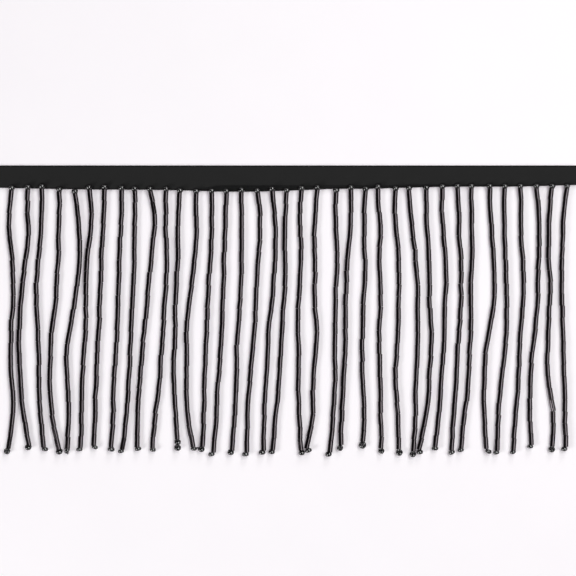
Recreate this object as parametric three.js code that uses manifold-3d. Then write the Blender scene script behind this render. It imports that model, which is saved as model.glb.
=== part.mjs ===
// Beaded fringe trim: a woven heading ribbon with strands of bugle beads sewn along its lower edge.
// Millimetres, +Z up. The trim lies face up on a flat surface at z = 0, with its fringe towards -Y.
// The origin is under the middle of the whole trim.

import * as THREE from "three";
import { mergeVertices } from "three/addons/utils/BufferGeometryUtils.js";
import Module from "manifold-3d";

// Driving dimensions
const RIBBON_LENGTH = 253;
const RIBBON_WIDTH = 10; // from the mean line of its lower edge up to its straight upper edge
const CLOTH_THICKNESS = 1;
const SEWN_STRIP_WIDTH = 2.2; // the ribbon's lower margin, which carries the strands
const PIECE_GAP = 0.3; // between the sewn strip and the rest of the ribbon
const EDGE_STEPS = 40; // straight steps along the ribbon's bowed edge
const BUGLE_DIAMETER = 2.2;
const BUGLES_PER_STRAND = 22; // each about 5 mm long, with a bend at every bead joint
const SEED_DIAMETER = 2.8;
const SEED_LENGTH = 1.6; // along its hole
const SEED_SIDES = 8;
const ROOT_OVERLAP = 0.5; // how far a strand runs on into the sewn strip
const ROOT_BEAD_BASE = 0.5; // a root bead sits on the cloth, bedded halfway into the sewn strip

// Finishes
const RIBBON_FINISH = { color: 0x272729, roughness: 0.85, metalness: 0 };
const GLASS_FINISH = { color: 0x0b0b0d, roughness: 0.18, metalness: 0 };

// The ribbon's lower edge bows: its height above the mean line, from the left end to the right.
// Columns: x, height
const LOWER_EDGE = [
  [-126.5, 0.35],
  [-110, 0],
  [-90, -0.35],
  [-60, -0.55],
  [-43, -0.85],
  [-30, -1.3],
  [-17, -1.35],
  [-4, -1.05],
  [9, -0.55],
  [17, -0.2],
  [36, -0.05],
  [56, 0.5],
  [70, 0.8],
  [104, 0.95],
  [112, 1.2],
  [126.5, 1.6],
];

// How each strand lies, from left to right, as x measured from the middle of the ribbon: at its root,
// at each guide depth below the mean line in turn, and at the end of its last bugle.
const GUIDE_DEPTHS = [10, 20, 30, 40, 50, 60, 70, 80, 90, 100];
const STRANDS = [
  [-120.0, -121.2, -121.4, -120.0, -119.5, -119.7, -120.5, -120.7, -120.5, -119.7, -119.9, -121.8],
  [-113.1, -113.4, -112.9, -114.1, -115.4, -116.4, -116.8, -117.0, -116.7, -116.0, -114.7, -112.8],
  [-107.0, -107.1, -107.6, -108.5, -109.5, -109.4, -109.0, -108.5, -108.3, -108.2, -107.6, -106.5],
  [-99.4, -99.5, -99.8, -99.8, -100.6, -101.1, -102.7, -103.1, -103.6, -103.5, -102.4, -99.7],
  [-92.7, -91.7, -90.7, -90.7, -91.6, -92.9, -94.7, -96.4, -96.2, -95.5, -95.5, -96.1],
  [-86.6, -85.6, -86.1, -87.5, -87.9, -88.0, -88.0, -88.7, -89.3, -89.7, -89.8, -90.2],
  [-79.8, -80.1, -80.8, -81.1, -81.4, -81.9, -82.3, -82.9, -83.3, -83.8, -84.0, -84.5],
  [-72.3, -72.4, -72.8, -73.5, -73.7, -73.9, -74.2, -74.8, -75.5, -76.0, -76.1, -77.2],
  [-66.8, -66.4, -67.0, -67.0, -67.2, -67.8, -68.2, -68.6, -69.0, -69.7, -70.4, -72.1],
  [-60.1, -58.0, -58.3, -59.4, -60.5, -61.3, -62.3, -63.4, -64.1, -64.9, -65.4, -65.8],
  [-53.0, -53.2, -53.1, -52.8, -53.0, -53.7, -54.3, -55.0, -55.7, -56.6, -57.9, -59.0],
  [-47.0, -47.6, -48.0, -47.9, -48.5, -49.2, -49.2, -49.5, -49.8, -49.4, -48.8, -48.1],
  [-39.9, -39.9, -39.7, -40.5, -41.7, -43.0, -44.2, -44.1, -44.1, -44.2, -43.6, -41.4],
  [-33.2, -33.2, -33.3, -33.7, -34.5, -34.9, -35.3, -35.7, -36.1, -36.4, -36.6, -37.4],
  [-26.8, -27.1, -27.5, -27.7, -28.1, -28.4, -28.7, -29.2, -30.0, -31.1, -31.2, -32.6],
  [-20.2, -20.2, -20.1, -20.2, -20.3, -20.9, -21.6, -22.4, -22.4, -22.7, -23.2, -24.4],
  [-13.4, -12.2, -12.2, -12.9, -13.5, -13.9, -14.4, -15.5, -16.2, -17.2, -17.7, -18.0],
  [-7.0, -6.0, -5.3, -5.6, -6.3, -7.0, -8.4, -8.6, -9.2, -10.0, -10.2, -10.7],
  [-0.5, -1.0, -1.3, -1.3, -1.2, -1.9, -2.6, -3.1, -3.7, -4.5, -5.4, -6.5],
  [5.9, 5.1, 5.5, 5.7, 5.3, 4.6, 4.4, 4.7, 4.5, 4.7, 4.9, 5.5],
  [12.7, 12.0, 11.4, 11.7, 11.8, 11.6, 12.5, 12.2, 11.2, 10.8, 10.7, 8.1],
  [20.9, 20.7, 21.0, 21.4, 21.0, 20.5, 20.5, 20.3, 20.8, 20.2, 19.6, 18.2],
  [27.3, 27.4, 26.9, 25.9, 25.4, 25.0, 24.9, 25.1, 24.3, 24.0, 23.2, 23.0],
  [33.7, 33.1, 33.0, 33.5, 33.6, 32.7, 32.5, 32.2, 32.4, 32.8, 33.2, 32.5],
  [39.1, 39.5, 40.3, 39.7, 40.1, 40.4, 39.6, 39.6, 40.0, 40.2, 40.4, 40.5],
  [46.7, 46.5, 47.3, 48.1, 48.3, 48.0, 47.9, 47.5, 46.7, 47.2, 47.9, 48.2],
  [52.6, 53.3, 54.4, 55.3, 56.3, 56.4, 56.4, 56.3, 55.8, 55.5, 55.5, 54.4],
  [60.0, 60.1, 60.8, 61.2, 61.6, 61.5, 62.3, 62.3, 61.6, 60.9, 59.8, 57.0],
  [67.0, 67.0, 67.7, 68.5, 68.8, 68.2, 68.0, 67.7, 67.0, 66.2, 65.5, 63.9],
  [73.6, 74.3, 74.5, 75.3, 75.2, 75.2, 74.7, 73.8, 73.4, 72.8, 71.8, 71.1],
  [79.7, 79.9, 80.0, 80.2, 79.5, 79.5, 79.6, 79.2, 78.6, 77.8, 76.5, 75.3],
  [87.6, 88.1, 88.7, 89.4, 89.8, 89.6, 87.9, 86.2, 85.5, 85.1, 85.4, 86.2],
  [94.2, 94.2, 94.4, 94.6, 95.1, 95.2, 95.1, 94.5, 93.2, 92.2, 91.3, 91.1],
  [101.0, 101.2, 101.2, 102.1, 102.5, 102.3, 101.3, 100.8, 100.4, 99.9, 98.9, 97.9],
  [107.9, 109.1, 109.2, 109.1, 108.7, 108.7, 107.7, 106.5, 105.5, 105.3, 105.3, 105.7],
  [114.8, 113.7, 113.4, 113.4, 114.1, 113.8, 113.4, 112.9, 112.8, 114.2, 115.5, 115.0],
  [121.3, 120.0, 119.4, 119.2, 119.0, 119.3, 119.5, 119.9, 120.0, 120.3, 120.4, 120.7],
];

// How each strand ends: the height of its root bead above the mean line and the depth of its last
// bugle's end below it. Then its stop bead: how far it lies aside of that end and below it, how far it
// is turned in plan, and how far its hole is tilted up from the table (both in degrees).
// Columns: root height, depth, aside, below, turn, tilt
const ENDS = [
  [0.2, 113.2, -0.4, 1.1, 0, 65],
  [0.6, 112.0, -0.2, 0.6, -20, 30],
  [0.85, 112.7, 0.8, 0.75, -8, 0],
  [-0.45, 113.6, 0.2, 0.9, -13, 30],
  [-1.3, 113.2, 0.1, 0.9, 65, 0],
  [0.4, 112.8, -0.5, 0.7, 8, 0],
  [0.65, 112.0, 0.5, 0.55, -17, 0],
  [0.2, 112.7, 0.3, 0.8, -5, 0],
  [-0.1, 113.6, -0.55, 0.75, 18, 0],
  [-0.25, 112.7, 0.6, 0.6, 12, 0],
  [-0.25, 113.1, 0.2, 0.6, -5, 0],
  [-0.85, 109.2, 0.1, 1.15, 0, 38],
  [-1.2, 112.5, 0.4, 0.75, -10, 0],
  [-1.1, 112.4, -0.3, 1.0, 0, 42],
  [-1.2, 114.9, -0.7, 0.75, 16, 0],
  [-0.75, 114.1, -0.5, 0.75, 0, 25],
  [-1.0, 114.9, -0.5, 0.75, 5, 0],
  [-0.2, 114.1, -0.6, 0.75, 2, 10],
  [-0.8, 113.9, -0.6, 0.75, 5, 10],
  [0.2, 114.1, 0.5, 0.9, 7, 20],
  [0.45, 113.2, 0.8, 0.8, 32, 0],
  [-0.8, 114.8, -0.6, 0.75, 20, 20],
  [0.4, 111.6, -0.35, 1.3, 0, 75],
  [-0.15, 110.1, -0.1, 1.5, 0, 80],
  [0.75, 113.1, 0.1, 1.1, 0, 55],
  [0.0, 113.5, 0.2, 1.35, 0, 60],
  [0.2, 114.5, -0.15, 1.1, 0, 55],
  [0.3, 113.7, 0.3, 1.0, 20, 10],
  [0.85, 112.5, 0.0, 0.6, 8, 0],
  [1.0, 114.1, 0.1, 0.75, 29, 0],
  [0.95, 113.2, -0.15, 0.6, 20, 0],
  [1.0, 113.3, 0.9, 1.1, -30, 10],
  [1.0, 114.1, -0.55, 0.8, 10, 0],
  [1.05, 113.9, -0.1, 0.75, 28, 10],
  [1.0, 111.6, -0.4, 0.7, 2, 0],
  [1.05, 112.3, -0.3, 1.2, -20, 65],
  [1.0, 112.5, -0.6, 0.85, 9, 10],
];
const TWIN_STOP_STRAND = 12; // counted from the left, it ends in two stop beads
const TWIN_STOP_SPACING = 2.5;

const wasm = await Module();
wasm.setup();

const HEIGHTS_PER_X = 1;
const edgeHeight = new THREE.CubicInterpolant(
  LOWER_EDGE.map(([x]) => x),
  LOWER_EDGE.map(([, height]) => height),
  HEIGHTS_PER_X,
);

function lowerEdgeAt(x) {
  return edgeHeight.evaluate(x)[0];
}

// A run of points along the ribbon's lower edge, raised by a distance, from left to right.
function edgeLine(raise) {
  return Array.from({ length: EDGE_STEPS + 1 }, (_, step) => {
    const x = RIBBON_LENGTH * (step / EDGE_STEPS - 1 / 2);
    return new THREE.Vector2(x, lowerEdgeAt(x) + raise);
  });
}

// A flat sheet of cloth between a lower line and an upper line, both from left to right.
function clothSheet(lowerLine, upperLine) {
  const outline = new THREE.Shape([...lowerLine, ...upperLine.toReversed()]);
  return new THREE.ExtrudeGeometry(outline, { depth: CLOTH_THICKNESS, bevelEnabled: false });
}

function ribbonGeometry() {
  const upperEdge = [
    new THREE.Vector2(-RIBBON_LENGTH / 2, RIBBON_WIDTH),
    new THREE.Vector2(RIBBON_LENGTH / 2, RIBBON_WIDTH),
  ];
  return clothSheet(edgeLine(SEWN_STRIP_WIDTH + PIECE_GAP), upperEdge);
}

function sewnStripGeometry() {
  return clothSheet(edgeLine(0), edgeLine(SEWN_STRIP_WIDTH));
}

// The bead joints of a strand, evenly spaced along its curve from the root bead to the tip.
function strandJoints(xs, rootHeight, depth) {
  const drops = [-rootHeight, ...GUIDE_DEPTHS, depth];
  const places = xs.map((x, index) => new THREE.Vector2(x, -drops[index]));
  return new THREE.SplineCurve(places).getSpacedPoints(BUGLES_PER_STRAND);
}

// Where a strand's solid begins: inside the sewn strip, also where its root bead hangs below the edge.
function strandAnchor(rootBead) {
  const height = Math.max(rootBead.y, lowerEdgeAt(rootBead.x)) + ROOT_OVERLAP;
  return new THREE.Vector2(rootBead.x, height);
}

// A strand of square section that lies level on the table and bends at its bead joints.
function strandGeometry(joints) {
  const sides = { left: [], right: [] };
  joints.forEach((joint, index) => {
    const before = joints[Math.max(index - 1, 0)];
    const after = joints[Math.min(index + 1, joints.length - 1)];
    const across = after.clone().sub(before).rotateAround(new THREE.Vector2(), Math.PI / 2);
    across.setLength(BUGLE_DIAMETER / 2);
    sides.left.push(joint.clone().add(across));
    sides.right.push(joint.clone().sub(across));
  });
  const outline = new THREE.Shape([...sides.left, ...sides.right.toReversed()]);
  return new THREE.ExtrudeGeometry(outline, { depth: BUGLE_DIAMETER, bevelEnabled: false });
}

// The plan angle, from straight down, of the way from one point to another.
function headingBetween(from, to) {
  return Math.atan2(to.x - from.x, from.y - to.y);
}

// A short faceted bead, its hole along the heading and tilted up, with its lowest point at base.
function seedBeadGeometry(centre, heading, tilt, base) {
  const bead = new THREE.CylinderGeometry(SEED_DIAMETER / 2, SEED_DIAMETER / 2, SEED_LENGTH, SEED_SIDES);
  bead.rotateY(Math.PI / SEED_SIDES); // a flat facet faces down
  bead.rotateX(tilt);
  bead.rotateZ(heading);
  bead.computeBoundingBox();
  bead.translate(centre.x, centre.y, base - bead.boundingBox.min.z);
  return bead;
}

// Centres of the stop beads below a strand's tip.
function stopBeadCentres(tip, aside, below, count) {
  return Array.from({ length: count }, (_, bead) => {
    return new THREE.Vector2(tip.x + aside, tip.y - below - bead * TWIN_STOP_SPACING);
  });
}

// The closed pieces of one strand: its root bead, its run of bugles and its stop bead or beads.
function strandPieces(xs, index) {
  const [rootHeight, depth, aside, below, turnDegrees, tiltDegrees] = ENDS[index];
  const turn = THREE.MathUtils.degToRad(turnDegrees);
  const tilt = THREE.MathUtils.degToRad(tiltDegrees);
  const joints = strandJoints(xs, rootHeight, depth);
  const rootBead = joints[0];
  const tip = joints.at(-1);
  const stopCount = index + 1 === TWIN_STOP_STRAND ? 2 : 1;
  const stops = stopBeadCentres(tip, aside, below, stopCount);
  const rootHeading = headingBetween(rootBead, joints[1]);
  const tipHeading = headingBetween(joints.at(-2), tip);
  return [
    strandGeometry([strandAnchor(rootBead), ...joints.slice(1), ...stops]),
    seedBeadGeometry(rootBead, rootHeading, 0, ROOT_BEAD_BASE),
    ...stops.map((centre) => seedBeadGeometry(centre, tipHeading + turn, tilt, 0)),
  ];
}

// A three.js geometry as a closed solid that can be joined to others.
function solidOf(geometry) {
  geometry.deleteAttribute("normal");
  geometry.deleteAttribute("uv");
  const closed = mergeVertices(geometry);
  const vertProperties = closed.attributes.position.array;
  const triVerts = new Uint32Array(closed.index.array);
  return new wasm.Manifold(new wasm.Mesh({ numProp: 3, vertProperties, triVerts }));
}

// A joined solid back as a three.js geometry.
function geometryOf(solid) {
  const { vertProperties, triVerts } = solid.getMesh();
  const geometry = new THREE.BufferGeometry();
  geometry.setAttribute("position", new THREE.BufferAttribute(vertProperties, 3));
  geometry.setIndex(new THREE.BufferAttribute(triVerts, 1));
  geometry.computeVertexNormals();
  return geometry;
}

// All strands fused at their roots into the sewn strip.
function fringeGeometry() {
  const pieces = STRANDS.flatMap(strandPieces);
  const strip = solidOf(sewnStripGeometry());
  return geometryOf(pieces.reduce((joined, piece) => joined.add(solidOf(piece)), strip));
}

function namedMesh(name, geometry, finish) {
  const mesh = new THREE.Mesh(geometry, new THREE.MeshStandardMaterial(finish));
  mesh.name = name;
  return mesh;
}

const trim = new THREE.Group();
trim.add(namedMesh("heading_ribbon", ribbonGeometry(), RIBBON_FINISH));
trim.add(namedMesh("bead_fringe", fringeGeometry(), GLASS_FINISH));

const middle = new THREE.Box3().setFromObject(trim).getCenter(new THREE.Vector3());
trim.position.set(-middle.x, -middle.y, 0);

export default trim;
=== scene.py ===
# %% [markdown]
# # Beaded fringe trim
# The trim is a narrow black ribbon with 37 strands of black glass bugle beads sewn along its lower edge.
# Each strand begins at a round seed bead on the ribbon and ends in another that stops the thread.
# It lies face up on a pale table and is seen from straight above.
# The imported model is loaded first. It fixes where everything is, and each piece made below takes the
# place of one of its solids.

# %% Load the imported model
import math

import bmesh
import bpy
import numpy as np
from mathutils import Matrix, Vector


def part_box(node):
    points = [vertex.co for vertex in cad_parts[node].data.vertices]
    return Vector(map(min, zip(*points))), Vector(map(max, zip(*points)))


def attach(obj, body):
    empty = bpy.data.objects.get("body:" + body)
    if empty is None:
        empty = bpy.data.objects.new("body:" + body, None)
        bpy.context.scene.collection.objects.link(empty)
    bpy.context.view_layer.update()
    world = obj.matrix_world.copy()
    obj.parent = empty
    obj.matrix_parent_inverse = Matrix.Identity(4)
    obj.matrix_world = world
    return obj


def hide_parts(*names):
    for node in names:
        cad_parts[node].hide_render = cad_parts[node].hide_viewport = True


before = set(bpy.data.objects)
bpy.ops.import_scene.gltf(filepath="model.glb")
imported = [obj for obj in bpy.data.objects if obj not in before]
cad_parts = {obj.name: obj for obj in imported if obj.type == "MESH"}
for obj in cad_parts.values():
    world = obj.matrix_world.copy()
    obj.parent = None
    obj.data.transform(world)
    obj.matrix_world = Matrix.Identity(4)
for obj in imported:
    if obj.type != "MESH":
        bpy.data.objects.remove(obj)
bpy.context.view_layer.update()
bpy.ops.object.select_all(action="DESELECT")
print("solids to dress:", sorted(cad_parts))

# %% [markdown]
# ## Where the trim lies
# Two lines are enough to measure everything from: the middle of the ribbon's length, where x is 0, and
# the mean line of its lower edge, where the strands begin. Heights above that line are positive, and
# depths below it are given as positive drops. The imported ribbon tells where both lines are.

# %% The lines that everything is measured from
MM = 0.001
RIBBON_WIDTH = 10 * MM
ribbon_low, ribbon_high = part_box("heading_ribbon")
ribbon_length = ribbon_high.x - ribbon_low.x
upper_edge = ribbon_high.y
mean_line = upper_edge - RIBBON_WIDTH
print(f"ribbon {ribbon_length / MM:.1f} mm long, mean line at y = {mean_line / MM:.2f} mm")

# %% [markdown]
# ## Camera
# The picture is taken from straight above with a long lens, so that the outer strands are seen almost as
# squarely as the middle ones. The distance follows from the lens and from how much of the table fits
# across the picture.

# %% Camera above the table
PICTURE_WIDTH = 251 * MM
PICTURE_MIDDLE_DROP = 43.36 * MM
LENS = 100  # focal length in millimetres
SENSOR = 36  # width in millimetres
camera_height = PICTURE_WIDTH * LENS / SENSOR
camera_place = (0, mean_line - PICTURE_MIDDLE_DROP, camera_height)
bpy.ops.object.camera_add(location=camera_place, rotation=(0, 0, 0))
camera = bpy.context.object
camera.data.lens = LENS
camera.data.sensor_width = SENSOR
bpy.context.scene.camera = camera
bpy.context.scene.view_settings.view_transform = "Standard"
print(f"camera {camera_height:.3f} m above the table")

# %% [markdown]
# ## Light
# Black glass shows only what it mirrors, so the light is what draws the beads. A tall softbox on the
# right puts one grey stripe down the right half of every bugle. Two smaller ones, beyond the ribbon and
# before the tips, lie out of the plane that a bugle mirrors: they light the table and leave small bright
# dots on the round seed beads alone. A last one stands low and far beyond the ribbon, which then throws a
# soft shadow on the table among the roots.

# %% Softboxes
# Columns, in metres and watts: name, place, size along the table, size upright, power
SOFTBOXES = (
    ("tall_softbox", (0.53, -0.05, 0.85), 0.44, 0.60, 3.8),
    ("upper_softbox", (0.35, 0.42, 0.84), 0.30, 0.30, 2.7),
    ("far_softbox", (0.50, 1.70, 1.00), 0.60, 0.60, 8.5),
    ("lower_softbox", (-0.70, -0.42, 0.58), 0.28, 0.28, 4.0),
)


def add_softbox(name, place, along_table, upright, watts):
    """A rectangular lamp that faces the middle of the trim."""
    turned = Vector(place).to_track_quat("Z", "Y").to_euler()
    bpy.ops.object.light_add(type="AREA", location=place, rotation=turned)
    softbox = bpy.context.object
    softbox.name = name
    softbox.visible_camera = False
    softbox.data.shape = "RECTANGLE"
    softbox.data.size = along_table
    softbox.data.size_y = upright
    softbox.data.energy = watts
    return softbox


for row in SOFTBOXES:
    print("softbox", add_softbox(*row).name)

# %% [markdown]
# ## Helpers for finishes
# Every finish below is a small tree of nodes, so one function adds a node, makes its settings, and fills
# its inputs: a value goes into the socket, and a socket of another node is linked to it. Another turns
# the hex colours that a picture program shows into the linear ones that a shader works in, and a third
# starts a new material.

# %% Adding a node, reading a colour and starting a material
MIX_FACTOR, MIX_A, MIX_B, MIX_RESULT = 0, 6, 7, 2  # the colour sockets of a Mix node, which share names


def add_node(tree, kind, inputs=None, **settings):
    """One new node, with its settings made and its inputs given as values or as sockets to link."""
    node = tree.nodes.new(kind)
    for name, value in settings.items():
        setattr(node, name, value)
    for name, value in (inputs or {}).items():
        if isinstance(value, bpy.types.NodeSocket):
            tree.links.new(value, node.inputs[name])
        else:
            node.inputs[name].default_value = value
    return node


def linear(hex_colour):
    """An sRGB hex colour as a linear colour with alpha, by the constants of the sRGB standard."""
    shares = [int(hex_colour[start:start + 2], 16) / 255 for start in (1, 3, 5)]
    return (*(s / 12.92 if s <= 0.04045 else ((s + 0.055) / 1.055) ** 2.4 for s in shares), 1.0)


def new_finish(name, roughness, specular):
    """A material with a Principled shader whose roughness and mirror strength start at these values."""
    finish = bpy.data.materials.new(name)
    finish.use_nodes = True
    shader = finish.node_tree.nodes["Principled BSDF"]
    shader.inputs["Roughness"].default_value = roughness
    shader.inputs["Specular IOR Level"].default_value = specular
    return finish, finish.node_tree, shader


print("white is", linear("#ffffff"))

# %% [markdown]
# ## The room and the table
# The room is a plain background. It is dark to the left and right, which keeps the left half of each
# bugle black, and a little lighter towards the far and near ends. What the camera itself sees past the
# table is a pale wall, so that low views have a light backdrop. The table is a matt pale card, very
# slightly lilac. A little light comes up through it, as on a light table, so that the shadows between the
# strands stay pale.

# %% Room
ROOM_DARK = 0.03
ROOM_ENDS = 0.12
ENDS_FROM, ENDS_TO = 0.4, 0.75  # how far a direction leans to an end, from dark to fully lighter
BACKDROP = linear("#f4f2f4")


def light_the_room():
    """A world that is dark but for its two ends, and a pale wall to the camera."""
    world = bpy.data.worlds.new("studio_room")
    world.use_nodes = True
    tree = world.node_tree
    tree.nodes.clear()
    way = add_node(tree, "ShaderNodeTexCoord")
    lean = add_node(tree, "ShaderNodeSeparateXYZ", {"Vector": way.outputs["Generated"]})
    either_end = add_node(tree, "ShaderNodeMath", {0: lean.outputs["Y"]}, operation="ABSOLUTE")
    ramp = {"From Min": ENDS_FROM, "From Max": ENDS_TO, "To Min": ROOM_DARK, "To Max": ROOM_ENDS}
    ramp["Value"] = either_end.outputs[0]
    glow = add_node(tree, "ShaderNodeMapRange", ramp, interpolation_type="SMOOTHSTEP")
    room = add_node(tree, "ShaderNodeBackground", {"Strength": glow.outputs["Result"]})
    wall = add_node(tree, "ShaderNodeBackground", {"Color": BACKDROP})
    path = add_node(tree, "ShaderNodeLightPath")
    shaders = {1: room.outputs["Background"], 2: wall.outputs["Background"]}
    seen = add_node(tree, "ShaderNodeMixShader", {0: path.outputs["Is Camera Ray"], **shaders})
    add_node(tree, "ShaderNodeOutputWorld", {"Surface": seen.outputs["Shader"]})
    return world


bpy.context.scene.world = light_the_room()
print("room:", bpy.context.scene.world.name)

# %% Table
TABLE_SIZE = 6.0  # metres
TABLE_GLOW = 0.19  # light that comes up through the table
CARD_CLOUD = 30 * MM  # size of the faint clouds in the card


def pale_card():
    """Matt coated card: an even pale surface with the faintest cloudiness."""
    finish, tree, shader = new_finish("pale_card", roughness=0.9, specular=0.1)
    place = add_node(tree, "ShaderNodeTexCoord")
    cloudy = {"Vector": place.outputs["Object"], "Scale": 1 / CARD_CLOUD}
    clouds = add_node(tree, "ShaderNodeTexNoise", cloudy)
    shades = {MIX_FACTOR: clouds.outputs["Fac"], MIX_A: linear("#f6f4f6"), MIX_B: linear("#f2f0f2")}
    colour = add_node(tree, "ShaderNodeMix", shades, data_type="RGBA")
    shader.inputs["Emission Strength"].default_value = TABLE_GLOW
    shader.inputs["Emission Color"].default_value = linear("#fbf0fa")
    tree.links.new(colour.outputs[MIX_RESULT], shader.inputs["Base Color"])
    return finish


bpy.ops.mesh.primitive_plane_add(size=TABLE_SIZE, location=(0, 0, 0))
table = bpy.context.object
table.name = "table"
table.data.materials.append(pale_card())
print("table", TABLE_SIZE, "m across")

# %% [markdown]
# ## Woven ribbon: the finish
# The heading is a dull black polyester ribbon in a fine plain weave. Seen from a step away it is an even
# dark grey, and close to it the crossing yarns make a tiny grid of bumps. The weave follows the cloth,
# so the finish reads a UV map that is kept in millimetres: u runs along the ribbon and v measures down
# from its upper edge. A dark line of painted shade lies in a narrow groove beside the upper selvedge.

# %% Ribbon finish
YARN_ALONG = 0.46  # millimetres from one crossing yarn to the next, a little coarser than real
YARN_ACROSS = 0.38
GROOVE_MIDDLE = 0.48  # millimetres below the upper edge
GROOVE_HALF_WIDTH = 0.17
CLOTH_CLOUD = 8.33  # millimetres from slightly lighter to slightly darker yarn
YARN_HEIGHT = 0.06 * MM
YARN_RELIEF = 0.5  # how strongly that height shows


def woven_ribbon():
    """Black polyester in plain weave: matt, a faint bloom at grazing angles, painted shade between the
    yarns.
    """
    finish, tree, shader = new_finish("woven_polyester_ribbon", roughness=0.85, specular=0.12)
    shader.inputs["Sheen Weight"].default_value = 0.04
    shader.inputs["Sheen Roughness"].default_value = 0.5
    cloth = add_node(tree, "ShaderNodeUVMap", uv_map="cloth_mm")
    way = add_node(tree, "ShaderNodeSeparateXYZ", {"Vector": cloth.outputs["UV"]})
    waves = []
    for axis, pitch in (("X", YARN_ALONG), ("Y", YARN_ACROSS)):
        turn = {0: way.outputs[axis], 1: math.pi / pitch}
        phase = add_node(tree, "ShaderNodeMath", turn, operation="MULTIPLY")
        waves.append(add_node(tree, "ShaderNodeMath", {0: phase.outputs[0]}, operation="SINE"))
    crossing = {0: waves[0].outputs[0], 1: waves[1].outputs[0]}
    over = add_node(tree, "ShaderNodeMath", crossing, operation="MULTIPLY")
    yarns = add_node(tree, "ShaderNodeMapRange", {"Value": over.outputs[0], "From Min": -1.0})
    bands = {"Vector": cloth.outputs["UV"], "Scale": 1 / CLOTH_CLOUD}
    clouds = add_node(tree, "ShaderNodeTexNoise", bands)
    # Partly real, partly painted: the clouds give lighter and darker yarn, and the hollows between the
    # crossing yarns are painted darkest as shade.
    tone = {0: yarns.outputs["Result"], 1: clouds.outputs["Fac"]}
    cloud_tone_and_painted_hollow_shade = add_node(tree, "ShaderNodeMath", tone, operation="MULTIPLY")
    woven = {MIX_FACTOR: cloud_tone_and_painted_hollow_shade.outputs[0], MIX_A: linear("#232323"), MIX_B: linear("#292929")}
    face = add_node(tree, "ShaderNodeMix", woven, data_type="RGBA")
    # The groove's shade is painted: the colour turns near black along it.
    beside = {0: way.outputs["Y"], 1: GROOVE_MIDDLE, 2: GROOVE_HALF_WIDTH}
    groove = add_node(tree, "ShaderNodeMath", beside, operation="COMPARE")
    groove_with_painted_shade = {MIX_FACTOR: groove.outputs[0], MIX_A: face.outputs[MIX_RESULT], MIX_B: linear("#121213")}
    colour = add_node(tree, "ShaderNodeMix", groove_with_painted_shade, data_type="RGBA")
    relief = {"Height": yarns.outputs["Result"], "Strength": YARN_RELIEF, "Distance": YARN_HEIGHT}
    bump = add_node(tree, "ShaderNodeBump", relief)
    tree.links.new(colour.outputs[MIX_RESULT], shader.inputs["Base Color"])
    tree.links.new(bump.outputs["Normal"], shader.inputs["Normal"])
    return finish


ribbon_finish = woven_ribbon()
print("finish:", ribbon_finish.name)

# %% [markdown]
# ## The ribbon's lower edge
# The strands pull the ribbon's lower edge a little out of line, so it bows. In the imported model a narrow
# sewn margin belongs to the fringe, and the seam above it runs at an even distance from the edge. So the
# points along that seam, moved down by the margin, draw the edge.

# %% How the lower edge bows
SEWN_MARGIN = 2.5 * MM


def points_of(piece):
    """The points of a piece's mesh as an array with a row for each."""
    flat = np.empty(len(piece.data.vertices) * 3)
    piece.data.vertices.foreach_get("co", flat)
    return flat.reshape(-1, 3)


def corner_points(piece):
    """The number of the point at each corner of a mesh's faces."""
    corners = np.empty(len(piece.data.loops), int)
    piece.data.loops.foreach_get("vertex_index", corners)
    return corners


packed_ribbon = points_of(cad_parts["heading_ribbon"])
seam = packed_ribbon[packed_ribbon[:, 1] < upper_edge - RIBBON_WIDTH / 2]
edge_x, edge_y = seam[np.argsort(seam[:, 0])].T[:2] - np.array(((0,), (SEWN_MARGIN,)))


def lower_edge_at(x):
    """The y of the ribbon's lower edge at each x."""
    return np.interp(x, edge_x, edge_y)


print("lower edge at the middle of the ribbon, mm:", round(float(lower_edge_at(0)) / MM, 3))

# %% [markdown]
# ## The ribbon
# A ribbon is a thin sheet, so it starts as a grid, one quad to each half millimetre. Its points are laid
# between the bowed lower edge and the straight upper one, with rows crowded towards both edges, where
# the selvedge and the sewn margin need them. Then the Solidify modifier gives the cloth its thickness,
# and a small bevel rounds the edges.

# %% Ribbon
CLOTH_THICKNESS = 0.5 * MM
QUAD_LENGTH = 0.5 * MM
RIBBON_ROWS = 24
ROW_CROWDING = 0.6  # 0 spaces the rows evenly
GROOVE_DEPTH = 0.06 * MM
SEWN_RISE = 0.4 * MM  # the strands hold the sewn margin this far off the table
SEWN_RISE_WIDTH = 4 * MM
CLOTH_EDGE_ROUND = 0.12 * MM
ROUNDED_EDGES = math.radians(60)  # edges that turn by more than this are rounded
CLOTH_SMOOTH = math.radians(40)  # and by less than this are shaded smooth
# Columns, in millimetres: length of a slow wave along the ribbon, its height
RIBBON_WAVES = ((83, 0.05), (47, 0.04), (19, 0.02))


def apply_modifier(piece, kind, **settings):
    """Add a modifier to the active piece, set it and apply it."""
    bpy.ops.object.modifier_add(type=kind)
    modifier = piece.modifiers[-1]
    for name, value in settings.items():
        setattr(modifier, name, value)
    bpy.ops.object.modifier_apply(modifier=modifier.name)


def soft_step(value):
    """A smooth rise from 0 to 1 as value goes from 0 to 1."""
    value = np.clip(value, 0, 1)
    return value * value * (3 - 2 * value)


def cloth_face(above_edge):
    """How high the cloth's upper face lies, by the distance above the ribbon's lower edge."""
    return CLOTH_THICKNESS + GROOVE_DEPTH + SEWN_RISE * soft_step(1 - above_edge / SEWN_RISE_WIDTH)


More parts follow.
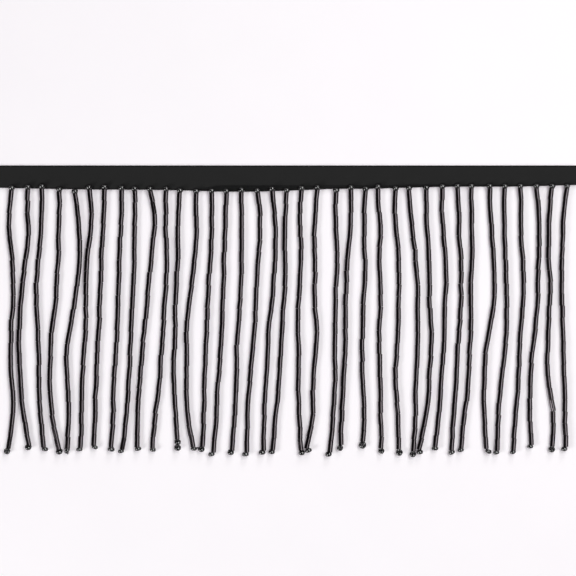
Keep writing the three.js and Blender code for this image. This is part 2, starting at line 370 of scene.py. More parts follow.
ribbon_columns = round(ribbon_length / QUAD_LENGTH)
bpy.ops.mesh.primitive_grid_add(x_subdivisions=ribbon_columns, y_subdivisions=RIBBON_ROWS, size=1)
ribbon = bpy.context.object
ribbon.name = "ribbon"
grid = points_of(ribbon)
along = grid[:, 0] * ribbon_length
share = grid[:, 1] + 0.5
share -= ROW_CROWDING * np.sin(2 * math.pi * share) / (2 * math.pi)
lower = lower_edge_at(along)
across = lower + share * (upper_edge - lower)
from_top = upper_edge - across
groove = np.abs(from_top - GROOVE_MIDDLE * MM) < GROOVE_HALF_WIDTH * MM
height = cloth_face(across - lower) - CLOTH_THICKNESS / 2 - GROOVE_DEPTH * groove
for length, rise in RIBBON_WAVES:
    height += rise * MM * (1 + np.sin(2 * math.pi * along / (length * MM))) / 2
ribbon.data.vertices.foreach_set("co", np.column_stack((along, across, height)).ravel())
ribbon.data.uv_layers[0].name = "cloth_mm"
cloth_mm = np.column_stack((along, from_top))[corner_points(ribbon)] / MM
ribbon.data.uv_layers[0].data.foreach_set("uv", cloth_mm.ravel())
apply_modifier(ribbon, "SOLIDIFY", thickness=CLOTH_THICKNESS, offset=0)
apply_modifier(ribbon, "BEVEL", width=CLOTH_EDGE_ROUND, segments=2, angle_limit=ROUNDED_EDGES)
bpy.ops.object.shade_smooth_by_angle(angle=CLOTH_SMOOTH)
ribbon.data.materials.append(ribbon_finish)
print("ribbon faces:", len(ribbon.data.polygons))

# %% [markdown]
# ## How the strands lie
# The strands were laid down by hand, so no two lie alike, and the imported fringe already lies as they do.
# It is cut across like a loaf: a cut through every strand gives the middle of each one there. The root
# beads are found as well, because their flat tops are its highest points. Only the other end needs a
# table: how deep the last bugle ends, and how the stop bead lies against that end.

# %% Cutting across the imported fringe
TOUCHING = 0.01 * MM  # what a cut finds closer together than this is one strand
ROOT_BEAD_TOPS = 3.05 * MM  # only root beads stand higher than this
ROOT_BEAD_APART = 3 * MM
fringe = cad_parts["bead_fringe"]
fringe_points = points_of(fringe)
fringe_sides = fringe_points[corner_points(fringe)].reshape(-1, 3, 3)


def strands_across(y):
    """The x of the middle of each strand, from left to right, where a cut at y goes through it."""
    starts, ends = fringe_sides, np.roll(fringe_sides, -1, axis=1)
    crossing = (starts[..., 1] >= y) != (ends[..., 1] >= y)
    cut = crossing.any(axis=1)
    starts, ends = starts[cut][crossing[cut]], ends[cut][crossing[cut]]
    share = (y - starts[:, 1]) / (ends[:, 1] - starts[:, 1])
    spans = np.sort((starts[:, 0] + share * (ends[:, 0] - starts[:, 0])).reshape(-1, 2), axis=1)
    spans = spans[np.argsort(spans[:, 0])]
    reach = np.maximum.accumulate(spans[:, 1])
    first = np.flatnonzero(np.append(True, spans[1:, 0] > reach[:-1] + TOUCHING))
    return (spans[first, 0] + reach[np.append(first[1:], len(spans)) - 1]) / 2


def root_bead_centres():
    """The x and y of each packed root bead, from left to right."""
    tops = fringe_points[fringe_points[:, 2] > ROOT_BEAD_TOPS]
    tops = tops[np.argsort(tops[:, 0])]
    first = np.flatnonzero(np.diff(tops[:, 0]) > ROOT_BEAD_APART) + 1
    return np.array([bead[:, :2].mean(axis=0) for bead in np.split(tops, first)])


roots = root_bead_centres()
print("strands:", len(roots))

# %% How the strands end
# Columns, in millimetres and degrees: depth of the last bugle's end below the mean line, then of the stop
# bead: aside of that end, below it, turned in plan, hole tilted up
ENDS = np.array((
    (113.2, -0.4, 1.1, 0, 65),
    (112.0, -0.2, 0.6, -20, 30),
    (112.7, 0.8, 0.75, -8, 0),
    (113.6, 0.2, 0.9, -13, 30),
    (113.2, 0.1, 0.9, 65, 0),
    (112.8, -0.5, 0.7, 8, 0),
    (112.0, 0.5, 0.55, -17, 0),
    (112.7, 0.3, 0.8, -5, 0),
    (113.6, -0.55, 0.75, 18, 0),
    (112.7, 0.6, 0.6, 12, 0),
    (113.1, 0.2, 0.6, -5, 0),
    (109.2, 0.1, 1.15, 0, 38),
    (112.5, 0.4, 0.75, -10, 0),
    (112.4, -0.3, 1.0, 0, 42),
    (114.9, -0.7, 0.75, 16, 0),
    (114.1, -0.5, 0.75, 0, 25),
    (114.9, -0.5, 0.75, 5, 0),
    (114.1, -0.6, 0.75, 2, 10),
    (113.9, -0.6, 0.75, 5, 10),
    (114.1, 0.5, 0.9, 7, 20),
    (113.2, 0.8, 0.8, 32, 0),
    (114.8, -0.6, 0.75, 20, 20),
    (111.6, -0.35, 1.3, 0, 75),
    (110.1, -0.1, 1.5, 0, 80),
    (113.1, 0.1, 1.1, 0, 55),
    (113.5, 0.2, 1.35, 0, 60),
    (114.5, -0.15, 1.1, 0, 55),
    (113.7, 0.3, 1.0, 20, 10),
    (112.5, 0.0, 0.6, 8, 0),
    (114.1, 0.1, 0.75, 29, 0),
    (113.2, -0.15, 0.6, 20, 0),
    (113.3, 0.9, 1.1, -30, 10),
    (114.1, -0.55, 0.8, 10, 0),
    (113.9, -0.1, 0.75, 28, 10),
    (111.6, -0.4, 0.7, 2, 0),
    (112.3, -0.3, 1.2, -20, 65),
    (112.5, -0.6, 0.85, 9, 10),
))
print("deepest strand, mm:", ENDS[:, 0].max())

# %% [markdown]
# ## Where the bugles meet
# Each strand is followed down from cut to cut, and the line that this draws is divided into 22 equal
# parts, one for each bugle. The joints between them stray a little to the side, as they do on a thread
# that isn't pulled tight.

# %% Bead joints along each strand
BUGLES_PER_STRAND = 22
BUGLE_RADIUS = 1.12 * MM  # at the corners of a tube with few sides, which is thinner across its flats
SEED_RADIUS = 1.47 * MM
SEED_HALF_LENGTH = 0.78 * MM
BEAD_SLACK = 0.05 * MM  # bare thread between a root bead and its first bugle
FIRST_JOINT_HEIGHT = 1.5 * MM  # the first bugle leans up against the root bead
JOINT_WANDER = 0.07 * MM  # how far a joint strays sideways
FIRST_CUT = 2.8 * MM  # below the mean line, clear of the root beads
CUT_PITCH = 2.5 * MM
LAST_CUTS = np.array((4, 2)) * MM  # before the end of the last bugle, which is straight
CHANCE_START = 37  # any whole number, kept so that every run draws the same
chance = np.random.default_rng(CHANCE_START)


def strand_line(root, depth):
    """Points down the middle of one strand, followed from its root bead to the end of its last bugle."""
    last_drops = depth - LAST_CUTS
    drops = np.append(np.arange(FIRST_CUT, last_drops[0], CUT_PITCH), last_drops)
    places = [root]
    for drop in drops:
        middles = strands_across(mean_line - drop)
        places.append((middles[np.abs(middles - places[-1][0]).argmin()], mean_line - drop))
    before, last = np.array(places[-2:])
    tip = last + (last - before) * (depth - drops[-1]) / (drops[-1] - drops[-2])
    return np.vstack((places, tip))


def distance_along(line):
    """How far along a line each of its points is."""
    return np.concatenate(([0], np.cumsum(np.linalg.norm(np.diff(line, axis=0), axis=1))))


def evenly_along(line, count, start):
    """Points on a line at even distances, from a distance past its start to its end."""
    walked = distance_along(line)
    stops = np.linspace(start, walked[-1], count)
    return np.column_stack([np.interp(stops, walked, column) for column in line.T])


def strand_joints(line):
    """Where one strand's bugles meet, from the top of its first bugle to the end of its last."""
    joints = evenly_along(line, BUGLES_PER_STRAND + 1, SEED_HALF_LENGTH + BEAD_SLACK)
    joints[1:-1, 0] += chance.normal(0, JOINT_WANDER, BUGLES_PER_STRAND - 1)
    heights = np.full(len(joints), BUGLE_RADIUS)
    heights[0] = FIRST_JOINT_HEIGHT
    return np.column_stack((joints, heights))


joints_of = [strand_joints(strand_line(root, depth * MM)) for root, depth in zip(roots, ENDS[:, 0])]
bugle_lengths = [np.linalg.norm(np.diff(joints, axis=0), axis=1).mean() for joints in joints_of]
print(f"bugles from {min(bugle_lengths) / MM:.2f} to {max(bugle_lengths) / MM:.2f} mm long")

# %% [markdown]
# ## Jet glass: the finish
# Bugles are cut from drawn glass cane and then fire polished. The black glass is opaque, so the eye gets
# hardly any colour from it, only the mirrored lamps, a little softened by faint streaks along the cane.
# Each bead took the fire differently, so each has its own tone, which sets how sharp its mirror is. The
# cut ends stay duller. Tone, place in the bead and nearness to a cut end are kept with the points.

# %% Glass finish
CUT_ROUGHNESS = 0.45
STREAK_DEPTH = 0.01 * MM
STREAK_RELIEF = 0.2  # how strongly that depth shows


def jet_glass(name, ior, lustre, tint, smoothest, dullest, streak_width, streak_length):
    """Opaque black glass whose polish differs from bead to bead. Streak sizes are in millimetres."""
    finish, tree, shader = new_finish(name, roughness=smoothest, specular=lustre)
    shader.inputs["IOR"].default_value = ior
    shader.inputs["Specular Tint"].default_value = tint
    tone = add_node(tree, "ShaderNodeAttribute", attribute_name="bead_tone")
    place = add_node(tree, "ShaderNodeAttribute", attribute_name="bead_place")
    cut = add_node(tree, "ShaderNodeAttribute", attribute_name="bead_end")
    drawn_out = (1 / streak_width, 1 / streak_width, 1 / streak_length)
    cane = {"Vector": place.outputs["Vector"], "Scale": drawn_out}
    stretched = add_node(tree, "ShaderNodeMapping", cane)
    streaks = add_node(tree, "ShaderNodeTexNoise", {"Vector": stretched.outputs["Vector"], "Scale": 1.0})
    shaded = {MIX_FACTOR: streaks.outputs["Fac"], MIX_A: linear("#020102"), MIX_B: linear("#070507")}
    colour = add_node(tree, "ShaderNodeMix", shaded, data_type="RGBA")
    uneven = {0: tone.outputs["Fac"], 1: streaks.outputs["Fac"]}
    wear = add_node(tree, "ShaderNodeMath", uneven, operation="MULTIPLY")
    worn = {"Value": wear.outputs[0], "To Min": smoothest, "To Max": dullest}
    polish = add_node(tree, "ShaderNodeMapRange", worn)
    ends = {"Value": cut.outputs["Fac"], "To Min": polish.outputs["Result"], "To Max": CUT_ROUGHNESS}
    dull = add_node(tree, "ShaderNodeMapRange", ends)
    relief = {"Height": streaks.outputs["Fac"], "Strength": STREAK_RELIEF, "Distance": STREAK_DEPTH}
    bump = add_node(tree, "ShaderNodeBump", relief)
    tree.links.new(colour.outputs[MIX_RESULT], shader.inputs["Base Color"])
    tree.links.new(dull.outputs["Result"], shader.inputs["Roughness"])
    tree.links.new(bump.outputs["Normal"], shader.inputs["Normal"])
    return finish


bugle_finish = jet_glass(
    "jet_glass_cane",
    ior=1.52,
    lustre=0.8,
    tint=linear("#fff0f8"),  # a breath of violet in what it mirrors
    smoothest=0.08,
    dullest=0.2,
    streak_width=0.3,
    streak_length=4.0,
)
seed_finish = jet_glass(
    "jet_glass_seed",
    ior=1.75,  # a dense glass, with a harder gleam
    lustre=1.0,
    tint=linear("#ffffff"),
    smoothest=0.0,
    dullest=0.04,
    streak_width=0.5,
    streak_length=0.7,
)
print("finishes:", bugle_finish.name, seed_finish.name)

# %% [markdown]
# ## One bugle bead
# A bugle is a short glass tube, just over 2 mm across and 5 mm long, its cut edges melted just round.
# It starts as a cylinder with twelve sides. Both ends are inset twice, first outwards for the chamfer
# and then flat to leave the wall, and the two inner faces are bridged into the thread hole. Twelve sides
# are enough for something repeated eight hundred times, because smooth shading rounds them off.

# %% Model one bugle
BUGLE_SIDES = 12
BUGLE_LENGTH = 5 * MM
BUGLE_WALL = 0.6 * MM
CHAMFER_DEPTH = 0.18 * MM  # how far a cut end narrows
CHAMFER_LENGTH = 0.12 * MM  # over how much of its length
END_FACING = 0.5  # a face turned further than this to the hole's axis is a cut end
UV_ANGLE = math.radians(66)  # faces that turn by less than this stay together
UV_MARGIN = 0.02


def select_faces(piece, wanted):
    """In edit mode, select the faces of a piece that fit, and nothing else."""
    bpy.ops.mesh.select_all(action="DESELECT")
    shape = bmesh.from_edit_mesh(piece.data)
    for face in shape.faces:
        face.select_set(wanted(face))
    bmesh.update_edit_mesh(piece.data)


def unwrap():
    """In edit mode, turn all faces outwards, lay them out on a UV map, and go back to object mode."""
    bpy.ops.mesh.select_all(action="SELECT")
    bpy.ops.mesh.normals_make_consistent(inside=False)
    bpy.ops.uv.smart_project(angle_limit=UV_ANGLE, island_margin=UV_MARGIN)
    bpy.ops.object.mode_set(mode="OBJECT")


def model_bugle():
    """One bugle bead at the origin, its hole along z."""
    straight = BUGLE_LENGTH - 2 * CHAMFER_LENGTH
    bpy.ops.mesh.primitive_cylinder_add(vertices=BUGLE_SIDES, radius=BUGLE_RADIUS, depth=straight)
    bead = bpy.context.object
    bpy.ops.object.mode_set(mode="EDIT")
    bpy.ops.mesh.select_mode(type="FACE")
    select_faces(bead, lambda face: abs(face.normal.z) > END_FACING)
    bpy.ops.mesh.inset(thickness=CHAMFER_DEPTH, depth=CHAMFER_LENGTH, use_individual=True)
    bpy.ops.mesh.inset(thickness=BUGLE_WALL - CHAMFER_DEPTH, use_individual=True)
    bpy.ops.mesh.bridge_edge_loops()
    unwrap()
    return bead


one_bugle = model_bugle()
print("one bugle has", len(one_bugle.data.polygons), "faces")

# %% [markdown]
# ## One seed bead
# A seed bead is a slice of the same cane, rolled in the furnace until it is round. The quickest way to
# that is to draw the section of its wall, an oval beside the axis, and spin it once round the hole.

# %% Model one seed bead
SEED_HOLE = 0.45 * MM
SEED_STEPS = 18
SEED_SECTION_POINTS = 12
MERGE_SHARE = 0.01  # points closer than this share of the wall are one


def model_seed():
    """One seed bead at the origin, its hole along z."""
    wall = (SEED_RADIUS - SEED_HOLE) / 2
    bpy.ops.mesh.primitive_circle_add(
        vertices=SEED_SECTION_POINTS, radius=1, location=(0, 0, 0), rotation=(math.pi / 2, 0, 0)
    )
    bead = bpy.context.object
    bpy.ops.object.transform_apply(location=False, rotation=True, scale=False)
    bpy.ops.object.mode_set(mode="EDIT")
    bpy.ops.mesh.select_all(action="SELECT")
    bpy.ops.transform.resize(value=(wall, 1, SEED_HALF_LENGTH))
    bpy.ops.transform.translate(value=(SEED_HOLE + wall, 0, 0))
    bpy.ops.mesh.spin(steps=SEED_STEPS, angle=2 * math.pi, center=(0, 0, 0), axis=(0, 0, 1))
    bpy.ops.mesh.select_all(action="SELECT")
    bpy.ops.mesh.remove_doubles(threshold=wall * MERGE_SHARE)
    unwrap()
    return bead


one_seed = model_seed()
print("one seed bead has", len(one_seed.data.polygons), "faces")

# %% [markdown]
# ## Stringing beads
# Eight hundred separate objects would be slow to handle, so the copies of a bead are joined into one
# mesh as they are made. Each copy is turned, stretched and moved to its place on the strand, and takes a
# square of its own on a shared UV map, so that its look can be baked bead by bead.

# %% How a bead lies
UPRIGHT = 0.95  # a hole with more z than this is squared to y instead


def unit(vector):
    """A vector brought to length 1."""
    return vector / np.linalg.norm(vector)


def bead_axes(direction, spin):
    """Three unit vectors for a bead, as rows: two across its hole and one along it."""
    along = unit(direction)
    side = unit(np.cross(along, (0, 0, 1) if abs(along[2]) < UPRIGHT else (0, 1, 0)))
    up = np.cross(side, along)
    turned_up = math.cos(spin) * up + math.sin(spin) * side
    turned_side = math.cos(spin) * side - math.sin(spin) * up
    return np.array((turned_up, turned_side, along))


print("axes of a bead along x:", bead_axes(np.array((1.0, 0.0, 0.0)), 0.0).tolist())

# %% Joining the copies
BEAD_SMOOTH = math.radians(35)  # edges that turn by less than this are shaded smooth
TONE_STRIDE = 100  # millimetres, so that beads of other tones have other streaks


def piece_from(mesh, finish, smooth):
    """A mesh as a piece of the scene with its finish, shaded smooth up to an angle."""
    piece = bpy.data.objects.new(mesh.name, mesh)
    bpy.context.scene.collection.objects.link(piece)
    bpy.ops.object.select_all(action="DESELECT")
    piece.select_set(True)
    bpy.context.view_layer.objects.active = piece
    bpy.ops.object.shade_smooth_by_angle(angle=smooth)
    mesh.materials.append(finish)
    return piece


def string_beads(name, pattern, places, finish, is_end):
    """All beads of one kind as one piece. A place holds centre, axes, stretch (three) and tone."""
    shape = points_of(pattern)
    faces = np.array([face.vertices[:] for face in pattern.data.polygons])
    corners = np.empty(len(pattern.data.loops) * 2)
    pattern.data.uv_layers.active.data.foreach_get("uv", corners)
    squares = math.ceil(math.sqrt(len(places)))
    points, all_faces, uvs, inside = [], [], [], []
    for number, (centre, axes, stretch, tone) in enumerate(places):
        points.append(centre + (shape * stretch) @ axes)
        all_faces.append(faces + number * len(shape))
        square = np.array((number % squares, number // squares))
        uvs.append((corners.reshape(-1, 2) + square) / squares)
        inside.append(shape / MM + TONE_STRIDE * tone)
    mesh = bpy.data.meshes.new(name)
    mesh.from_pydata(np.vstack(points).tolist(), [], np.vstack(all_faces).tolist())
    mesh.uv_layers.new(name="OFBake").data.foreach_set("uv", np.vstack(uvs).ravel())
    tones = np.repeat([tone for *_, tone in places], len(shape))
    cut_ends = np.tile(is_end(shape).astype(float), len(places))
    mesh.attributes.new("bead_tone", "FLOAT", "POINT").data.foreach_set("value", tones)
    mesh.attributes.new("bead_end", "FLOAT", "POINT").data.foreach_set("value", cut_ends)
    bead_place = mesh.attributes.new("bead_place", "FLOAT_VECTOR", "POINT")
    bead_place.data.foreach_set("vector", np.vstack(inside).ravel())
    return piece_from(mesh, finish, BEAD_SMOOTH)


print("beads to string:", len(joints_of) * BUGLES_PER_STRAND, "bugles")

# %% String the bugles
BUGLE_GAP = (0.0 * MM, 0.02 * MM)  # bare thread between one bugle and the next
RADIUS_SPREAD = 0.02  # bugles differ this much in thickness
BUGLE_LEAN = 0.022  # and lie this much askew on the thread
BUGLE_SHIFT = 0.13 * MM  # and up to this far to one side of it


def bugle_places():
    """Where each bugle lies: between two joints, a little short of both."""
    places = []
    for joints in joints_of:
        for top, bottom in zip(joints, joints[1:]):
            way = top - bottom
            length = np.linalg.norm(way) - chance.uniform(*BUGLE_GAP)
            thick = 1 + np.clip(chance.normal(0, RADIUS_SPREAD), -2 * RADIUS_SPREAD, 2 * RADIUS_SPREAD)
            centre = (top + bottom) / 2
            centre[0] += chance.uniform(-BUGLE_SHIFT, BUGLE_SHIFT)
            centre[2] += BUGLE_RADIUS * (thick - 1)
            way[0] += chance.normal(0, BUGLE_LEAN) * length
            stretch = np.array((thick, thick, length / BUGLE_LENGTH))
            axes = bead_axes(way, chance.uniform(0, 2 * math.pi))
            places.append((centre, axes, stretch, chance.uniform()))
    return places


def at_cut_end(shape):
    """Which points of a bugle lie round its hole, where the cut ends are left dull."""
    return np.hypot(shape[:, 0], shape[:, 1]) < BUGLE_RADIUS - BUGLE_WALL / 2


bugles = string_beads("bugle_beads", one_bugle, bugle_places(), bugle_finish, at_cut_end)
print("bugles strung, faces in all:", len(bugles.data.polygons))

# %% [markdown]
# ## Seed beads at the roots and the tips
# The root beads straddle the ribbon's edge, dipping towards their strands, and some hang lower and roll
# over it. A stop bead lies on the table below its strand as the thread left it, and some have turned over
# to show the hole. One strand ends in two of them.

# %% String the seed beads
ROOT_BEAD_SINK = 0.3 * MM  # a root bead beds this far into the stitches and the cloth
ROOT_BEAD_DIP = math.radians(12)
TWIN_STOP_STRAND = 12  # counted from the left
TWIN_STOP_SPACING = 2.5 * MM
LARGE_STOP_STRAND = 24
LARGE_STOP_STRETCH = 1.15
LOOP_RADIUS = 0.09 * MM  # of the thread round a stop bead, which a bead that has rolled over lies on
SEED_SPREAD = 0.03  # seed beads differ this much in size
HOLE_LINING = 0.3 * MM  # the lining of a seed bead's hole reaches this far out over its ends


def in_hole(shape):
    """Which points of a seed bead line its hole."""
    return np.hypot(shape[:, 0], shape[:, 1]) < SEED_HOLE + HOLE_LINING


def hole_way(heading, rise):
    """The way up a bead's hole: turned by heading from straight up the strand, and raised off level."""
    level = math.cos(rise)
    return np.array((-math.sin(heading) * level, math.cos(heading) * level, math.sin(rise)))


def root_bead_place(root, joints):
    """Where a strand's root bead sits: on the ribbon, or rolled over its edge."""
    x, y = root
    over_edge = np.clip(lower_edge_at(x) - y, 0, SEED_RADIUS)
    bed = cloth_face(0) - ROOT_BEAD_SINK
    centre = np.array((x, y, bed + math.sqrt(SEED_RADIUS**2 - over_edge**2)))
    way = hole_way(math.atan2(joints[1, 0] - x, y - joints[1, 1]), ROOT_BEAD_DIP)
    stretch = 1 + chance.normal(0, SEED_SPREAD, 3)
    return centre, bead_axes(way, chance.uniform(0, 2 * math.pi)), stretch, chance.uniform()


def stop_bead_places(number, ends, joints):
    """Where a strand's stop bead, or its two, lie on the table."""
    aside, below = ends[1:3] * MM
    turn, tilt = np.radians(ends[3:])
    tip, before = joints[-1], joints[-2]
    way = hole_way(math.atan2(tip[0] - before[0], before[1] - tip[1]) + turn, tilt)
    places = []
    for bead in range(2 if number == TWIN_STOP_STRAND else 1):
        size = LARGE_STOP_STRETCH if number == LARGE_STOP_STRAND else 1 + chance.normal(0, SEED_SPREAD)
        axes = bead_axes(way, chance.uniform(0, 2 * math.pi))
        lowest = ((points_of(one_seed) * size) @ axes)[:, 2].min()
        height = 2 * LOOP_RADIUS * math.sin(tilt) - lowest
        centre = np.array((tip[0] + aside, tip[1] - below - bead * TWIN_STOP_SPACING, height))
        places.append((centre, axes, np.full(3, size), chance.uniform()))
    return places


root_places = [root_bead_place(root, joints) for root, joints in zip(roots, joints_of)]
stop_places = [
    stop_bead_places(number, ends, joints)
    for number, (ends, joints) in enumerate(zip(ENDS, joints_of), start=1)
]
root_beads = string_beads("root_beads", one_seed, root_places, seed_finish, in_hole)
stop_beads = string_beads("stop_beads", one_seed, sum(stop_places, []), seed_finish, in_hole)
print("seed beads:", len(root_places), "at the roots,", sum(map(len, stop_places)), "at the tips")
bpy.data.objects.remove(one_bugle)
bpy.data.objects.remove(one_seed)

# %% [markdown]
# ## Beading thread: the finish
# The thread is black bonded polyester, two plies twisted together. It is duller than the glass, with a
# little more gleam than the ribbon. The twist is drawn along the thread from a UV map whose u is the
# distance along it in millimetres and whose v goes once round it.

# %% Thread finish
TWIST_LENGTH = 0.7  # millimetres for one turn of the plies
PLIES = 2
PLY_HEIGHT = 0.04 * MM
PLY_RELIEF = 0.6  # how strongly that height shows


def polyester_thread():
    """Twisted black thread: dull, with a soft sheen, and each ply painted lighter along its crest as a
    highlight.
    """
    finish, tree, shader = new_finish("polyester_thread", roughness=0.6, specular=0.25)
    shader.inputs["Sheen Weight"].default_value = 0.03
    thread = add_node(tree, "ShaderNodeUVMap", uv_map="thread_mm")
    way = add_node(tree, "ShaderNodeSeparateXYZ", {"Vector": thread.outputs["UV"]})
    wound = {0: way.outputs["X"], 1: 2 * math.pi / TWIST_LENGTH}
    turns = add_node(tree, "ShaderNodeMath", wound, operation="MULTIPLY")
    around = {0: way.outputs["Y"], 1: 2 * math.pi * PLIES, 2: turns.outputs[0]}
    phase = add_node(tree, "ShaderNodeMath", around, operation="MULTIPLY_ADD")
    wave = add_node(tree, "ShaderNodeMath", {0: phase.outputs[0]}, operation="SINE")
    plies = add_node(tree, "ShaderNodeMapRange", {"Value": wave.outputs[0], "From Min": -1.0})
    # The crests of the plies are painted lighter than the hollows between them: a painted highlight.
    ply_tone_with_painted_gleam = {MIX_FACTOR: plies.outputs["Result"], MIX_A: linear("#030303"), MIX_B: linear("#0a0a0b")}
    colour = add_node(tree, "ShaderNodeMix", ply_tone_with_painted_gleam, data_type="RGBA")
    relief = {"Height": plies.outputs["Result"], "Strength": PLY_RELIEF, "Distance": PLY_HEIGHT}
    bump = add_node(tree, "ShaderNodeBump", relief)
    tree.links.new(colour.outputs[MIX_RESULT], shader.inputs["Base Color"])
    tree.links.new(bump.outputs["Normal"], shader.inputs["Normal"])
    return finish


thread_finish = polyester_thread()
print("finish:", thread_finish.name)

# %% [markdown]
# ## A length of thread
# A thread is a thin tube along a line of points. At each point a ring is set square to the line, each
# ring being carried on from the last so that the tube never twists over, and the ends are closed.
# All the threads of one kind are again joined as they are made.

# %% Tubes along lines
THREAD_SIDES = 6
THREAD_SMOOTH = math.radians(60)  # edges that turn by less than this are shaded smooth
STEEP = 0.9  # a thread that starts with more z than this is squared to x instead


def thread_tube(line, radius):
    """The points, faces and face-corner UVs of a closed tube along a line."""
    line = np.asarray(line, float)
    ways = [unit(way) for way in np.gradient(line, axis=0)]
    walked = distance_along(line) / MM
    side = np.cross(ways[0], (0, 0, 1) if abs(ways[0][2]) < STEEP else (1, 0, 0))
    angles = 2 * math.pi * np.arange(THREAD_SIDES) / THREAD_SIDES
    rings = []
    for place, way in zip(line, ways):
        side = unit(side - way * np.dot(side, way))
        up = np.cross(way, side)
        rings.append(place + radius * (np.outer(np.cos(angles), side) + np.outer(np.sin(angles), up)))
    faces, uvs = [], []
    for ring in range(len(line) - 1):
        for corner in range(THREAD_SIDES):
            after = (corner + 1) % THREAD_SIDES
            base, ahead = ring * THREAD_SIDES, (ring + 1) * THREAD_SIDES
            faces.append((base + corner, base + after, ahead + after, ahead + corner))
            v, v_after = corner / THREAD_SIDES, (corner + 1) / THREAD_SIDES
            u, u_after = walked[ring], walked[ring + 1]
            uvs += [(u, v), (u, v_after), (u_after, v_after), (u_after, v)]
    last = (len(line) - 1) * THREAD_SIDES
    faces.append(tuple(range(THREAD_SIDES))[::-1])
    faces.append(tuple(range(last, last + THREAD_SIDES)))
    uvs += [(walked[0], 0)] * THREAD_SIDES + [(walked[-1], 0)] * THREAD_SIDES
    return np.vstack(rings), faces, uvs


def sew(name, tubes):
    """All the tubes of one kind as one piece of thread."""
    points, faces, uvs, start = [], [], [], 0
    for tube_points, tube_faces, tube_uvs in tubes:
        points.append(tube_points)
        faces += [tuple(corner + start for corner in face) for face in tube_faces]
        uvs += tube_uvs
        start += len(tube_points)
    mesh = bpy.data.meshes.new(name)
    mesh.from_pydata(np.vstack(points).tolist(), [], faces)
    mesh.uv_layers.new(name="thread_mm").data.foreach_set("uv", np.array(uvs).ravel())
    return piece_from(mesh, thread_finish, THREAD_SMOOTH)


print("a thread has", THREAD_SIDES, "sides")

# %% [markdown]
# ## The thread of each strand
# One thread carries a strand. It comes out of the ribbon, goes down through the root bead and all the
# bugles, passes through the stop bead, turns back round its wall and goes up again. The bugles all but
# hide it, so it shows at the stop beads, and in a turn that is drawn tight under each root bead. On two
# strands a knotted end sticks out beside the stop bead.

# %% Strand threads
THREAD_RADIUS = 0.2 * MM
ANCHOR_RISE = 0.5 * MM  # where the thread dives into the cloth: at least this far above the ribbon's edge
ANCHOR_CLEAR = 0.1 * MM  # and this far past the root bead
ANCHOR_HEIGHT = 0.5 * MM
ANCHOR_INSIDE = 0.7  # how far up its half of the root bead's hole the thread shows, as a share
COLLAR_RADIUS = 0.95 * MM  # of the turn of thread that is drawn tight under a root bead
LOOP_STEPS = 16
HOLE_FILL = 0.8  # how much of a stop bead's hole the doubled thread fills, as a share of its width
HOLE_FILL_LENGTH = 0.7  # and of its length
LYING_RISE = math.radians(40)  # a stop bead whose hole rises less than this lies on its side
LOOP_DROP = math.radians(40)  # how far below level the loop goes round such a bead
TAIL_RADIUS = 0.3 * MM  # of the thread where it is knotted and cut
TAIL_BEND = 0.4 * MM
TAIL_STEPS = 8
# Columns: strand, then in millimetres from its stop bead: start aside, start drop, end aside, end drop
CUT_TAILS = (
    (5, -0.1, -1.0, -1.15, -0.85),
    (5, 0.0, 0.9, 0.1, 1.5),
    (13, 1.0, -0.1, 2.0, -0.3),
)


def strand_thread(joints, root_place):
    """The thread down the middle of a strand, from the cloth to the end of its last bugle."""
    centre, axes, *_ = root_place
    past_bead = centre[1] + SEED_HALF_LENGTH + ANCHOR_CLEAR
    anchor_y = max(past_bead, lower_edge_at(centre[0]) + ANCHOR_RISE)
    anchor = (centre[0], anchor_y, ANCHOR_HEIGHT)
    ends = [centre + axes[2] * SEED_HALF_LENGTH * share for share in (ANCHOR_INSIDE, -1)]
    return thread_tube(np.vstack((anchor, ends[0], centre, ends[1], joints)), THREAD_RADIUS)


def oval(middle, across, along):
    """Points once round an oval, given its middle and its two half widths with their directions."""
    angles = np.linspace(0, 2 * math.pi, LOOP_STEPS + 1)
    return middle + np.outer(np.cos(angles), across) + np.outer(np.sin(angles), along)


def root_collar(joints, root_place):
    """A turn of thread in the groove between a root bead and its first bugle."""
    centre, axes, *_ = root_place
    middle = (centre - axes[2] * SEED_HALF_LENGTH + joints[0]) / 2
    return thread_tube(oval(middle, COLLAR_RADIUS * axes[0], COLLAR_RADIUS * axes[1]), THREAD_RADIUS)


def stop_loop(tip, place, side):
    """The thread's turn round the wall of a stop bead: low on one side, or on the side of the tip."""
    centre, axes, stretch, _ = place
    up_hole = axes[2]
    level = side * np.array((up_hole[1], -up_hole[0], 0))
    low = unit(level) * math.cos(LOOP_DROP) - np.array((0, 0, math.sin(LOOP_DROP)))
    near = low if np.linalg.norm(level) > math.cos(LYING_RISE) else unit(tip - centre)
    near = unit(near - up_hole * np.dot(near, up_hole))
    wall = (SEED_RADIUS - SEED_HOLE) / 2 * stretch[0]
    half_length = SEED_HALF_LENGTH * stretch[2]
    middle = centre + near * (SEED_HOLE * stretch[0] + wall)
    ring = oval(middle, (wall + LOOP_RADIUS) * near, (half_length + LOOP_RADIUS) * up_hole)
    nearest = ring[np.linalg.norm(ring - tip, axis=1).argmin()]
    half_fill = up_hole * half_length * HOLE_FILL_LENGTH
    fill = thread_tube((centre - half_fill, centre + half_fill), SEED_HOLE * stretch[0] * HOLE_FILL)
    return [thread_tube(ring, LOOP_RADIUS), thread_tube((tip, nearest), LOOP_RADIUS), fill]


def cut_tail(place, start_aside, start_drop, end_aside, end_drop):
    """A short cut end of thread lying beside a stop bead."""
    centre = place[0]
    start = centre + np.array((start_aside, -start_drop, 0)) * MM
    end = np.array((centre[0] + end_aside * MM, centre[1] - end_drop * MM, TAIL_RADIUS))
    bend = (start + end) / 2 + np.array((0, TAIL_BEND, TAIL_BEND))
    t = np.linspace(0, 1, TAIL_STEPS)[:, None]
    return thread_tube((1 - t) ** 2 * start + 2 * t * (1 - t) * bend + t**2 * end, TAIL_RADIUS)


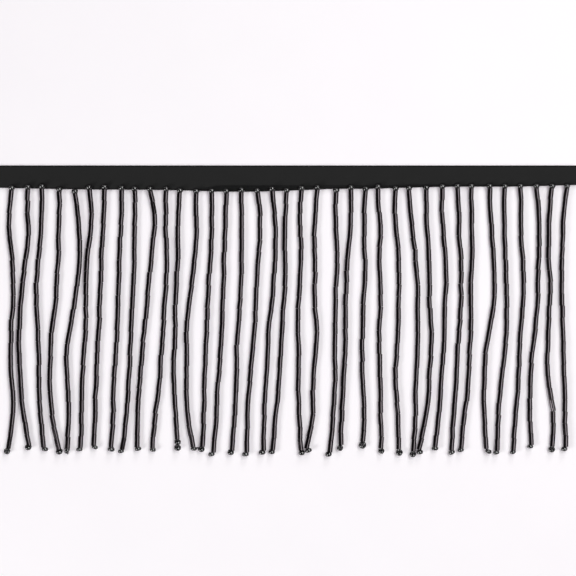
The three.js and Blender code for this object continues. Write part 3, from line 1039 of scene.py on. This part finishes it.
strand_tubes = []
for joints, root_place, stops in zip(joints_of, root_places, stop_places):
    strand_tubes += [strand_thread(joints, root_place), root_collar(joints, root_place)]
    tip = joints[-1]
    for place in stops:
        strand_tubes += stop_loop(tip, place, chance.choice((-1, 1)))
        tip = place[0] - np.array((0, SEED_HALF_LENGTH, 0))
strand_tubes += [cut_tail(stop_places[strand - 1][0], *ends) for strand, *ends in CUT_TAILS]
strand_threads = sew("strand_threads", strand_tubes)
print("strand threads:", len(strand_tubes), "lengths,", len(strand_threads.data.polygons), "faces")

# %% [markdown]
# ## The sewn edge
# The strands are held by close overcast stitches that go round the ribbon's lower edge, side by side.
# They make a darker band along it, which is deepest left of the middle, where the edge bows down, and
# thins out to the left end.

# %% Edge stitches
STITCH_PITCH = 0.38 * MM
STITCH_RADIUS = 0.17 * MM
STITCH_SLANT = 0.25 * MM
SLANT_SPREAD = 0.2  # slants differ this much
SLANT_AT_EDGE = 0.25  # share of its slant that a stitch has taken when it is round the edge
SLANT_AT_DIVE = 1.2  # and when it dives into the cloth
STITCH_UNEVEN = 0.05 * MM
STITCH_TUCK = 0.7 * MM  # how far a stitch reaches back under the cloth
SHORTEST_STITCH = 0.3 * MM
# Near a root bead the stitches reach higher. This is partly real sewing and partly a dark patch of thread
# that stands in for the bead's shade on the ribbon.
ROOT_SHADE_PATCH = 2.0 * MM  # stitches this near a root bead go round it
ROOT_SHADE_PATCH_RISE = 1.5 * MM  # and up to this far above its middle
# Columns, in millimetres: x, height of the top of the stitched band above the mean line. The band runs
# level beyond the first and the last row.
BAND_TOP = np.array((
    (-44, -0.9),
    (-30, 1.2),
    (40, 1.2),
    (56, 1.6),
)) * MM


def edge_stitch(x):
    """One overcast stitch: from under the cloth, round its edge and up over its face."""
    edge = float(lower_edge_at(x))
    band_top = mean_line + float(np.interp(x, *BAND_TOP.T)) + chance.normal(0, STITCH_UNEVEN)
    root_x, root_y = roots[np.abs(roots[:, 0] - x).argmin()]
    # Close to a root bead the stitch reaches higher: a dark patch of thread in place of the bead's shade,
    # as well as real sewing.
    nearness = 1 - ((x - root_x) / ROOT_SHADE_PATCH) ** 2
    shade_patch_top = root_y + ROOT_SHADE_PATCH_RISE * math.sqrt(nearness) if nearness > 0 else edge
    end = max(band_top, shade_patch_top, edge + SHORTEST_STITCH)
    slant = STITCH_SLANT * (1 + chance.normal(0, SLANT_SPREAD))
    face_at_edge, face_at_end = cloth_face(0), cloth_face(end - edge)
    beneath = face_at_edge - CLOTH_THICKNESS - STITCH_RADIUS
    places = (
        (x, edge + STITCH_TUCK, beneath),
        (x, edge + STITCH_RADIUS, beneath),
        (x, edge, face_at_edge - CLOTH_THICKNESS / 2),
        (x + slant * SLANT_AT_EDGE, edge + STITCH_RADIUS, face_at_edge + STITCH_RADIUS / 2),
        (x + slant, end, face_at_end + STITCH_RADIUS / 2),
        (x + slant * SLANT_AT_DIVE, end + STITCH_RADIUS, face_at_end - STITCH_RADIUS),
    )
    return thread_tube(places, STITCH_RADIUS)


first_stitch = STITCH_PITCH - ribbon_length / 2
last_stitch = ribbon_length / 2 - STITCH_PITCH - 2 * STITCH_SLANT
stitch_xs = np.arange(first_stitch, last_stitch, STITCH_PITCH)
edge_stitches = sew("edge_stitches", [edge_stitch(x) for x in stitch_xs])
print("edge stitches:", len(stitch_xs), "with", len(edge_stitches.data.polygons), "faces")

# %% [markdown]
# ## Handing the pieces to the frame
# Every piece rides on the trim's one body, and the imported solid that it stands for is hidden. Each
# is printed with the material slot that its finish belongs to.

# %% Riding, replacing and slots
# Columns: piece, the imported solid that it stands for, material slot
PIECES = (
    (ribbon, "heading_ribbon", "ribbon"),
    (bugles, "bead_fringe", "beads"),
    (root_beads, "bead_fringe", "beads"),
    (stop_beads, "bead_fringe", "beads"),
    (strand_threads, "bead_fringe", "thread"),
    (edge_stitches, "bead_fringe", "thread"),
)
for piece, node, slot in PIECES:
    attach(piece, "root")
    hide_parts(node)
    print(piece.name, "stands for", node, "in slot", slot)
